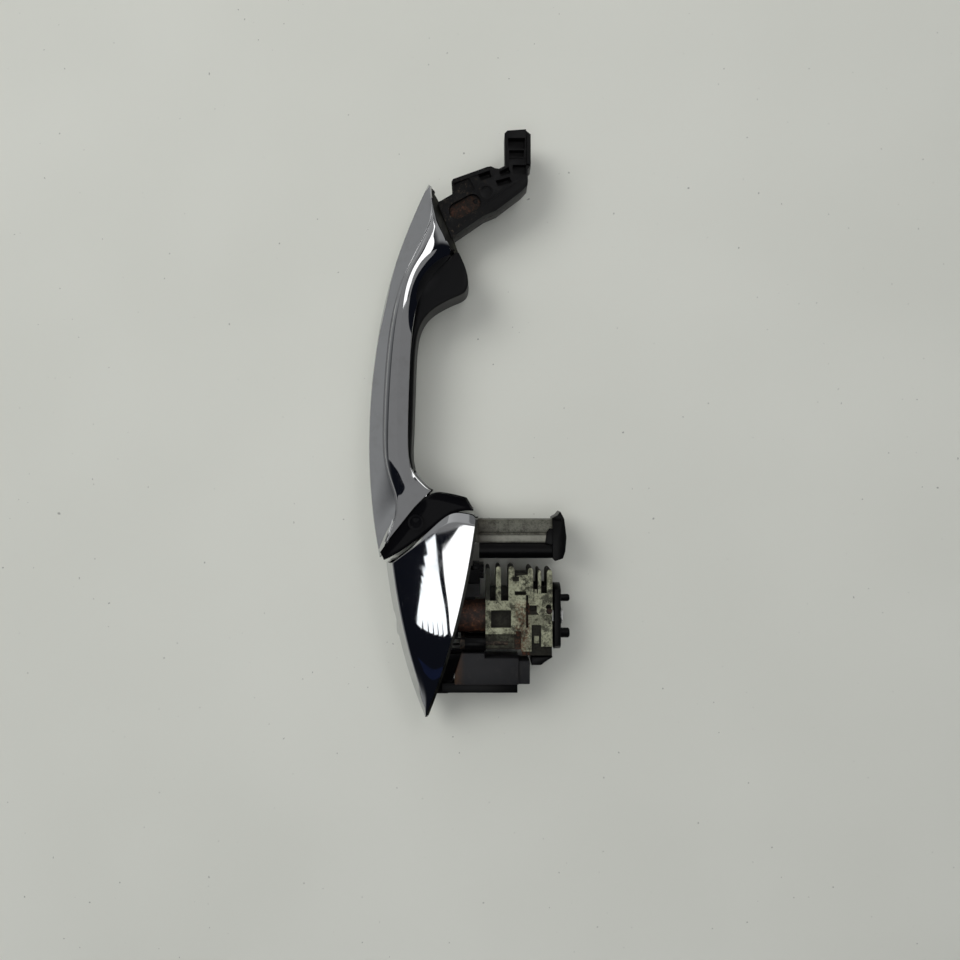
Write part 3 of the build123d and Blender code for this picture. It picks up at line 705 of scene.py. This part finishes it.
# ---------------------------------------------------------------- black end piece
# Polished black end of the grip, set in the shell's open end, with a dished plug over its screw.
END_ROWS = [
    ((-171.6, 61.8), (-175.2, 60.6)),
    ((-165.0, 57.6), (-173.4, 56.4)),
    ((-157.5, 51.4), (-168.4, 48.8)),
    ((-150.2, 45.6), (-161.8, 40.0)),
    ((-146.4, 42.0), (-157.6, 33.8)),
    ((-144.2, 37.8), (-154.2, 28.6)),
    ((-144.9, 33.0), (-152.8, 25.6)),
    ((-146.4, 26.6), (-152.8, 22.0)),
    ((-147.4, 23.8), (-152.9, 20.1)),
]
END_HALF = 12.4


def end_row(front, rear):
    front, rear = Vector((*front, END_HALF)), Vector((*rear, END_HALF - 2.2))
    sink = Vector((0, 0, -0.4))
    return [
        front + Vector((0, 0, -2.0)), front, front.lerp(rear, 0.35) + sink, front.lerp(rear, 0.7) + sink,
        rear + Vector((0, 0, 0.1)), rear + Vector((0, 0, -1.6)), Vector((rear.x, rear.y, 0)),
    ]


end_rows = [folded_round(end_row(*row)) for row in END_ROWS]
end_piece = outward(sheet_of("end_piece_piece", end_rows, [(1, 0.7), (11, 0.7)], 3), (-155, 42, 0))
thicken(end_piece, 0.8)
combine(end_piece, [prism("dimple", circle((-157.6, 45.4), 3.3), END_HALF - 1.1, 20.0)], "DIFFERENCE")
shade(end_piece, 50)
gloss = Paint("polished_black", (0.005, 0.005, 0.006), Roughness=0.08)
gloss.set("Specular IOR Level", 0.03)
film = gloss.noise(5.0, detail=7.0).step(0.5, 0.85)
gloss.set("Roughness", 0.05 + 0.16 * film)
finish_piece(end_piece, "grip", gloss, "gloss_black", "end_piece")
plain_node("screw_plug", gloss)


# ---------------------------------------------------------------- pull arm
# A die-cast zinc bar with a black sliding cover along its rear side. Its head has a flange
# on each side, which the latch lever inside the door pulls on.
def bar_along_y(name, section, y_low, y_high, steps=24):
    """A solid with a section of (x, z) points, drawn along Y in short steps."""
    form = bmesh.new()
    rings = []
    for i in range(steps + 1):
        y = y_low + (y_high - y_low) * i / steps
        rings.append([form.verts.new(Vector((x, y, z)) * MM) for x, z in section])
    form.faces.new(rings[0])
    form.faces.new(rings[-1])
    for near, far in zip(rings, rings[1:]):
        for i in range(len(section)):
            j = (i + 1) % len(section)
            form.faces.new((near[i], near[j], far[j], far[i]))
    return closed(form, name)


def both_flanks(upper):
    return upper + [(x, -z) for x, z in upper[::-1]]


PULL_UPPER = [
    (-156.7, 3.2), (-157.2, 5.0), (-158.6, 6.1), (-160.8, 6.5), (-162.6, 6.2), (-163.1, 5.2),
    (-163.7, 5.2), (-164.1, 6.5), (-165.2, 6.9), (-167.4, 6.6),
]
pull_bar = bar_along_y("pull_arm_piece", both_flanks(PULL_UPPER), -15.9, 17.6)
root = prism("root", [(-156.6, 16.0), (-156.6, 31.4), (-150.9, 41.0), (-156.2, 51.9), (-163.0, 50.1),
                      (-167.5, 46.0), (-167.5, 16.0)], -4.9, 4.9)
combine(pull_bar, [root])
soften(pull_bar, 0.2, 2)


def cast_zinc(name, clean, dull):
    """Bare zinc casting with dark stains, white corrosion and rusty spots."""
    paint = Paint(name, clean, Metallic=0.25, Roughness=0.6)
    blotch = paint.noise(4.5, detail=9.0, rough=0.7)
    speckle = paint.noise(1.0, detail=7.0, rough=0.75, shift=0.4)
    metal = paint.ramp(0.5 * blotch + 0.5 * speckle, [
        (0.30, (0.012, 0.012, 0.010)), (0.42, dull), (0.52, clean), (0.62, tuple(1.35 * c for c in clean)),
    ])
    rusty = paint.noise(2.0, detail=9.0, rough=0.8, shift=2.0).step(0.60, 0.68)
    metal = paint.mix(rusty * 0.85, metal, (0.075, 0.030, 0.015))
    salty = paint.noise(1.3, detail=6.0, rough=0.8, shift=5.0).step(0.66, 0.72)
    return paint, paint.mix(salty * 0.8, metal, (0.52, 0.47, 0.36)), blotch + 0.8 * speckle


pull_zinc, metal, relief = cast_zinc("pull_arm_zinc", (0.13, 0.13, 0.105), (0.05, 0.05, 0.038))
# A narrow light band painted along the top of the bar's ridge is a painted highlight.
ridge = 1 - (pull_zinc.along(0) + 0.1655).size().step(0.0008, 0.0020)
# The bar is painted darker towards its root.
darker_toward_root = pull_zinc.along(1).step(0.006, 0.018)
metal = pull_zinc.mix(ridge * 0.55, metal, (0.36, 0.36, 0.31))
metal = pull_zinc.mix(darker_toward_root * 0.6, metal, (0.03, 0.022, 0.015))
pull_zinc.set("Base Color", metal)
pull_zinc.set("Roughness", 0.35 + 0.3 * pull_zinc.noise(3.0))
pull_zinc.bump(relief, 0.18, 0.7)
finish_piece(pull_bar, "grip", pull_zinc, "zinc_casting", "pull_arm")

COVER_UPPER = [
    (-167.6, 5.8), (-169.0, 6.4), (-171.6, 6.4), (-173.4, 5.8), (-174.5, 4.4), (-174.9, 2.4),
]
cover = shade(bar_along_y("pull_arm_cover_piece", both_flanks(COVER_UPPER), -15.9, 17.5))
black = Paint("plain_black_moulding", (0.009, 0.009, 0.010), Roughness=0.42)
black.set("Specular IOR Level", 0.12)
scuff = black.noise(2.2, detail=8.0, rough=0.7).step(0.55, 0.8)
black.set("Base Color", black.mix(scuff, (0.0022, 0.0022, 0.0024), (0.014, 0.0125, 0.0105)))
black.set("Roughness", 0.34 + 0.4 * scuff)
black.bump(black.noise(0.6), 0.03, 0.4)
finish_piece(cover, "grip", black, "moulding_black", "pull_arm_cover")

head = prism("pull_arm_cap_piece", [
    (-156.0, -16.0), (-155.0, -18.0), (-153.2, -19.4), (-156.6, -21.2), (-164.8, -22.2),
    (-171.3, -21.7), (-174.6, -20.6), (-175.8, -17.0), (-174.6, -15.9)], -8.5, 8.5)
tongue_outline = [(-161.4, -17.5), (-160.8, -14.6), (-162.6, -13.3), (-167.6, -12.6), (-169.0, -17.5)]
tongue = prism("tongue", tongue_outline, 5.6, 7.6)
combine(head, mirrored([tongue]))
slots = mirrored([box((-157.4, -156.4), (-20.0, -16.6), (6.8, 9.0))])
combine(head, slots, "DIFFERENCE")
soften(head, 0.35, 3)
finish_piece(head, "grip", black, "moulding_black", "pull_arm_cap")

steel = Paint("plain_steel", (0.42, 0.42, 0.41), Metallic=1.0, Roughness=0.3)
steel.set("Roughness", 0.25 + 0.25 * steel.noise(0.8))
plain_node("arm_screw", steel)


# ---------------------------------------------------------------- cap shell
# The chrome cap over the lock: half a teardrop with an upright outer face, a bevel and a broad
# flank. It is plated plastic, clipped on its carrier, and open towards the grip.
CAP_ARC = (-143.1, -237.4)
CAP_RADIUS = 299.0
SEAT_ARC = (-108.8, 398.1)
SEAT_RADIUS = 382.0
CAP_HALF = 17.0
CAP_TAPER_X = -186.0
CAP_TAIL_X = -248.2


def cap_outer(x):
    return CAP_ARC[1] + sqrt(CAP_RADIUS ** 2 - (x - CAP_ARC[0]) ** 2)


def cap_seat(x):
    return SEAT_ARC[1] - sqrt(SEAT_RADIUS ** 2 - (x - SEAT_ARC[0]) ** 2)


TAPER_SHARE = 0.9


def cap_share(x):
    """How wide the cap still is at x, as a share of its full width: an arc down to its tail."""
    run = TAPER_SHARE * max(0.0, CAP_TAPER_X - x) / (CAP_TAPER_X - CAP_TAIL_X)
    fall = (1 - sqrt(1 - run * run)) / (1 - sqrt(1 - TAPER_SHARE ** 2))
    return 1 - 0.90 * fall


# Each row: x at the outer edge, at the ridge and at the seat.
CAP_ROWS = [
    (-176.6, -176.2, -159.2), (-178.2, -177.6, -161.0), (-183.0, -182.0, -167.5), (-190.0, -189.0, -178.5),
    (-199.0, -198.2, -191.0), (-209.0, -208.4, -203.6), (-219.0, -218.6, -215.6), (-228.5, -228.2, -226.3),
    (-236.5, -236.3, -235.2), (-242.5, -242.4, -241.9), (-246.3, -246.3, -246.1), (-248.2, -248.2, -248.2),
]
RIDGE_INSET = 3.4
FRONT_TURN = (-157.4, 31.4)
FLANK_RISE = 2.9


def cap_row(outer_x, ridge_x, seat_x):
    """One side of the cap's section, from the outer face to the seat."""
    share = cap_share(ridge_x)
    outer = Vector((outer_x, cap_outer(outer_x), 0))
    inset = min(RIDGE_INSET, 0.4 * (cap_outer(ridge_x) - cap_seat(ridge_x)))
    edge = outer + Vector((0, -0.15, 9.0 * share))
    ridge = Vector((ridge_x, cap_outer(ridge_x) - inset, (CAP_HALF - 0.3 - FLANK_RISE) * share))
    base = Vector((seat_x, cap_seat(seat_x), (CAP_HALF - 0.15) * cap_share(seat_x)))
    bend = ridge.lerp(base, 0.62)
    if seat_x > -170:
        pull = min(1.0, (seat_x + 170) / 10.6)
        bend = bend.lerp(Vector((*FRONT_TURN, bend.z)), pull)
    flank = []
    for part in (0.33, 0.66, 1.0):
        point = ridge.lerp(bend, part)
        along = 0.62 * part
        point.z = ridge.z + (base.z - ridge.z) * (1 - (1 - along) ** 2)
        flank.append(point)
    near_base = bend.lerp(base, 0.55)
    near_base.z = ridge.z + (base.z - ridge.z) * (1 - (1 - 0.62 - 0.38 * 0.55) ** 2)
    return [
        outer, outer + Vector((0, -0.03, 6.0 * share)), edge, edge.lerp(ridge, 0.5) + Vector((0, 0.1, 0.1)),
        ridge, *flank, near_base, base,
    ]


FACET_DEPTH = 4.4
FACET_DROP = 2.3
FACET_END_Y = 46.0
FACET_FADE = 14.0
FACET_HALF = 13.0


def cap_lip(row):
    """The front edge: a facet near the door that thins out to a narrow bevel outboard."""
    moved = []
    for point in row:
        broad = min(1.0, max(0.0, (FACET_END_Y - point.y) / FACET_FADE))
        share = (0.16 + 0.84 * broad) * min(1.0, abs(point.z) / FACET_HALF)
        drop = (0.3 + 0.7 * broad) * FACET_DROP * point.z / CAP_HALF
        moved.append(point + Vector((FACET_DEPTH * share, -0.9 * share, -drop)))
    return moved


first_row = both_sides(cap_row(*CAP_ROWS[0]))
cap_rows = [cap_lip(first_row)] + [both_sides(cap_row(*row)) for row in CAP_ROWS]
cap_folds = both_columns(len(cap_rows[0]), (2, 0.6), (4, 0.8))
cap = outward(sheet_of("cap_shell_piece", cap_rows, cap_folds, 3, [(1, 0.8)]), (-200, 35, 0))
thicken(cap, 1.2)
hole = prism("hole", circle((0, 0), 9.5, 64), 0, 30)
hole.data.transform(Matrix.Translation(Vector((-201.4, 42.0, 0)) * MM) @ Matrix.Rotation(-pi / 2, 4, "X"))
combine(cap, [hole], "DIFFERENCE")
shade(cap, 40)
finish_piece(cap, "lock_carrier", chrome, "chrome", "cap_shell")


# ---------------------------------------------------------------- cap carrier, gasket and clips
# The black frame behind the cap, with a row of small teeth beside the pull arm's opening,
# the rubber gasket round the cap's seat, and the clips that hold the cap.
plain_node("cap_gasket", seal_paint)


def repeated(name, start, spacing, count, size, paint):
    """Equal blocks in a row, made with Geometry Nodes."""
    group = bpy.data.node_groups.new(name, "GeometryNodeTree")
    inputs = {
        "Count": "Int", "Start": "Vector", "Spacing": "Vector",
        "Block size": "Vector", "Material": "Material",
    }
    keys = {}
    for label, kind in inputs.items():
        socket = group.interface.new_socket(label, in_out="INPUT", socket_type="NodeSocket" + kind)
        keys[label] = socket.identifier
    group.interface.new_socket("Geometry", in_out="OUTPUT", socket_type="NodeSocketGeometry")
    tree = Tree(group)
    entry = group.nodes.new("NodeGroupInput")
    given = {label: Wire(tree, entry.outputs[label]) for label in inputs}
    places = {"Count": given["Count"], "Start Location": given["Start"], "Offset": given["Spacing"]}
    line = tree.node("GeometryNodeMeshLine", {"mode": "OFFSET"}, places)
    block = tree.node("GeometryNodeMeshCube", None, {"Size": given["Block size"]})
    row = tree.node("GeometryNodeInstanceOnPoints", None, {"Points": line, "Instance": block})
    solid = tree.node("GeometryNodeRealizeInstances", None, {"Geometry": row})
    painted = tree.node("GeometryNodeSetMaterial", None, {"Geometry": solid, "Material": given["Material"]})
    tree.join(painted, group.nodes.new("NodeGroupOutput").inputs["Geometry"])
    thing = new_object(name, bpy.data.meshes.new(name))
    grow = thing.modifiers.new("row", "NODES")
    grow.node_group = group
    values = (count, Vector(start) * MM, Vector(spacing) * MM, Vector(size) * MM, paint.material)
    for label, value in zip(inputs, values):
        grow[keys[label]] = value
    return bake(thing)


carrier = copy_of("cap_carrier")
combine(carrier, [box((-210.4, -192.8), (8.0, 27.0), (-20.0, 20.0))], "DIFFERENCE")
wall = box((-185.4, -177.0), (17.4, 20.4), (-10.0, 9.6))
teeth = repeated("carrier_teeth", (-178.0, 16.6, 0), (-2.4, 0, 0), 3, (1.2, 2.4, 17.6), black)
pads = repeated("carrier_pads", (-178.4, 19.0, 9.9), (-2.8, 0, 0), 3, (1.6, 2.0, 1.6), black)
combine(carrier, [wall, teeth, pads])
soften(carrier, 0.25, 2)
finish_piece(carrier, "lock_carrier", black, "moulding_black", "cap_carrier")
plain_node("cap_clips", black)


# ---------------------------------------------------------------- lock housing
# Zinc casting with ribs towards the pull arm, a square pocket for its retainer and raised blocks.
# It is bare metal, stained and rusty from years in the door; its hollows also get painted shade.
HOUSING_TOP = 10.8
HOUSING_BED = 8.2
RIB_ROOT_X = -194.5
RIBS = [
    (14.6, 12.6, -178.6), (9.9, 7.7, -178.0), (4.2, 1.5, -178.0),
    (-4.6, -6.9, -178.7), (-9.1, -10.5, -179.7), (-13.2, -15.6, -179.5),
]


def rib_outline(high_y, low_y, tip_x):
    """A rib's plan: straight sides and a pointed round tip."""
    middle, half = (high_y + low_y) / 2, (high_y - low_y) / 2
    shoulder = tip_x - 1.3 * half
    tip = [(shoulder + 1.3 * half * sin(pi * i / 8), middle - half * cos(pi * i / 8)) for i in range(9)]
    return [(RIB_ROOT_X, low_y), *tip, (RIB_ROOT_X, high_y)]


housing = box((-215.8, -194.0), (-15.6, 14.6), (-HOUSING_BED, HOUSING_BED))
low_parts = [
    box((-218.6, -215.0), (-15.6, -2.2), (-HOUSING_BED, HOUSING_BED)),
    box((-195.0, -181.4), (-5.0, 1.6), (-HOUSING_BED + 0.6, HOUSING_BED - 0.6)),
    box((-195.0, -188.0), (-14.0, 13.0), (-3.0, 3.0)),
]
ribs = [prism("rib", rib_outline(*rib), -HOUSING_TOP, HOUSING_TOP) for rib in RIBS]
web = prism("web", [(-194.5, 1.6), (-183.4, 1.6), (-182.2, 0.2), (-181.8, -4.7), (-194.5, -4.7)],
            HOUSING_BED - 1.0, HOUSING_TOP - 0.3)
frame_block = box((-208.6, -193.6), (0.9, 14.6), (HOUSING_BED - 1.0, HOUSING_TOP - 0.2))
bar = prism("bar", [(-193.6, 0.9), (-191.2, 0.6), (-191.2, -3.6), (-207.2, -3.6), (-207.2, 0.9)],
            HOUSING_BED - 1.0, HOUSING_TOP)
small_block = box((-195.6, -188.4), (-8.6, -5.2), (HOUSING_BED - 1.0, HOUSING_TOP - 0.4))
right_outline = [(-190.2, -8.6), (-190.2, -15.6), (-200.0, -15.6), (-200.0, -9.8), (-198.6, -8.6)]
right_block = prism("right", right_outline, HOUSING_BED - 1.0, HOUSING_TOP - 0.1)
lower_block = box((-214.2, -204.2), (-15.6, -10.6), (HOUSING_BED - 1.0, HOUSING_TOP + 0.1))
rusty_bar = box((-216.4, -204.4), (-6.2, -1.6), (HOUSING_BED - 1.0, HOUSING_TOP - 0.2))
tiny_block = box((-212.8, -209.6), (-9.6, -7.4), (HOUSING_BED - 1.0, HOUSING_TOP - 1.0))
link = box((-204.6, -200.0), (-15.6, -3.6), (HOUSING_BED - 1.0, HOUSING_TOP - 1.2))
ledge = box((-215.0, -208.6), (1.6, 14.6), (HOUSING_BED - 1.0, HOUSING_TOP - 2.0))
raised = [web, frame_block, bar, small_block, right_block, lower_block, rusty_bar, tiny_block, link, ledge]
combine(housing, low_parts + ribs + mirrored(raised))
hollows = [
    box((-205.8, -197.8), (3.0, 12.1), (6.7, 20.0)),
    box((-191.0, -189.2), (-3.8, 1.4), (7.0, 20.0)),
    box((-184.8, -182.6), (-0.6, 2.2), (8.6, 20.0)),
    box((-205.8, -191.0), (-4.75, -3.75), (6.5, 20.0)),
    prism("pin_hole", circle((-196.4, -14.0), 1.35, 20), 7.0, 20.0),
    box((-198.6, -195.6), (-8.6, -5.6), (6.5, 20.0)),
]
combine(housing, mirrored(hollows), "DIFFERENCE")
bore = prism("bore", circle((0, 0), 5.9, 48), -30, 30)
bore.data.transform(Matrix.Translation(Vector((-201.4, 0, 0)) * MM) @ Matrix.Rotation(-pi / 2, 4, "X"))
combine(housing, [bore], "DIFFERENCE")
soften(housing, 0.28, 2)

housing_zinc, metal, relief = cast_zinc("housing_zinc", (0.36, 0.37, 0.26), (0.12, 0.12, 0.08))
# Parts of the casting that lie low, in its hollows, are painted darker: grime, and painted shade.
depth = housing_zinc.along(2).size()
dark_edge_wobble = housing_zinc.noise(1.6, detail=8.0, rough=0.75)
hollow_grime_and_shade = 1 - (depth + 0.0016 * dark_edge_wobble).step(0.0092, 0.0112)
metal = housing_zinc.mix(hollow_grime_and_shade * 0.95, metal, (0.007, 0.006, 0.005))
# The outboard rib is painted almost black.
outboard_rib = (housing_zinc.along(1) + 0.0008 * dark_edge_wobble).step(0.0122, 0.0128)
outboard_rib = outboard_rib * housing_zinc.along(0).step(-0.1938, -0.1928)
metal = housing_zinc.mix(outboard_rib * 0.93, metal, (0.006, 0.006, 0.006))
grime_patch = housing_zinc.noise(5.0, detail=9.0, rough=0.78, shift=7.0).step(0.50, 0.58)
metal = housing_zinc.mix(grime_patch * 0.82, metal, (0.012, 0.011, 0.008))
along_bar = 1 - (housing_zinc.along(1) + 0.0022).size().step(0.0022, 0.0042)
below_web = 1 - housing_zinc.along(0).step(-0.1955, -0.1925)
rust_grain = housing_zinc.noise(1.2, 9.0, 0.8).step(0.46, 0.58)
metal = housing_zinc.mix(along_bar * below_web * rust_grain * 0.75, metal, (0.13, 0.045, 0.02))
housing_zinc.set("Base Color", metal)
housing_zinc.set("Roughness", 0.5 + 0.35 * housing_zinc.noise(2.0))
housing_zinc.bump(relief, 0.25, 0.8)
finish_piece(housing, "lock_carrier", housing_zinc, "zinc_casting", "lock_housing")


# ---------------------------------------------------------------- lock barrel and what it holds
# The rusty barrel between cap and housing, its pin, seal and screws, the plug with its brass
# wafers, the return spring and the shutter behind the keyhole.
barrel_rust = Paint("barrel_rust", (0.1, 0.05, 0.03), Roughness=0.6)
# Rust flakes; the palest, cream-coloured flecks are painted glints.
flakes_and_glints = 0.75 * barrel_rust.noise(4.2, detail=10.0, rough=0.82) + 0.25 * barrel_rust.noise(0.9, shift=1.0)
barrel_rust.set("Base Color", barrel_rust.ramp(flakes_and_glints, [
    (0.36, (0.008, 0.006, 0.005)), (0.47, (0.022, 0.012, 0.009)), (0.55, (0.065, 0.028, 0.017)),
    (0.61, (0.20, 0.085, 0.038)), (0.66, (0.50, 0.38, 0.22)),
]))
barrel_rust.set("Roughness", 0.35 + 0.5 * flakes_and_glints)
barrel_rust.bump(flakes_and_glints, 0.35, 1.0)
plain_node("lock_barrel", barrel_rust)
plain_node("roll_pin", old_rust)
plain_node("key_bezel", chrome)
plain_node("barrel_seal", seal_paint)
dull_steel = Paint("dull_steel", (0.05, 0.045, 0.04), Metallic=0.6, Roughness=0.55)
tarnish = dull_steel.noise(1.4, detail=8.0, rough=0.75)
worn = dull_steel.mix(tarnish.step(0.42, 0.62), (0.016, 0.014, 0.012), (0.10, 0.075, 0.055))
dull_steel.set("Base Color", worn)
dull_steel.bump(tarnish, 0.15, 0.8)
plain_node("housing_screws", dull_steel)
plain_node("return_spring", steel)
plain_node("key_plug", steel)
brass = Paint("worn_brass", (0.48, 0.31, 0.11), Metallic=1.0, Roughness=0.35)
dark_brass = brass.noise(1.5, detail=6.0).step(0.45, 0.7)
brass.set("Base Color", brass.mix(dark_brass, (0.48, 0.31, 0.11), (0.22, 0.13, 0.05)))
plain_node("plug_wafers", brass)
plain_node("wafer_springs", steel)
plain_node("coupler_clip", steel)
plain_node("dust_shutter", steel)


# ---------------------------------------------------------------- guide block
# Black moulded box beside the lock that guides it into its bracket: a flat flank, a stepped end
# and a lower block that stands back.
guide = copy_of("guide_block")
soften(guide, 0.3, 2)
charcoal = Paint("charcoal_moulding", (0.018, 0.018, 0.019), Roughness=0.5)
charcoal.set("Specular IOR Level", 0.25)
stained = charcoal.along(1).step(0.0235, 0.0275) * charcoal.noise(2.5, 8.0, 0.7).step(0.3, 0.6)
dusty = charcoal.noise(5.0, detail=9.0, rough=0.7).step(0.5, 0.75)
face = charcoal.mix(dusty * 0.5, (0.017, 0.017, 0.0185), (0.036, 0.035, 0.033))
charcoal.set("Base Color", charcoal.mix(stained * 0.8, face, (0.055, 0.028, 0.014)))
charcoal.bump(charcoal.noise(0.6), 0.03, 0.4)
finish_piece(guide, "lock_carrier", charcoal, "moulding_black", "guide_block")

drive = copy_of("drive_cover")
soften(drive, 0.3, 2)
finish_piece(drive, "lock_carrier", black, "moulding_black", "drive_cover")

coupler = copy_of("coupler")
soften(coupler, 0.3, 3)
finish_piece(coupler, "key_cylinder", black, "moulding_black", "coupler")
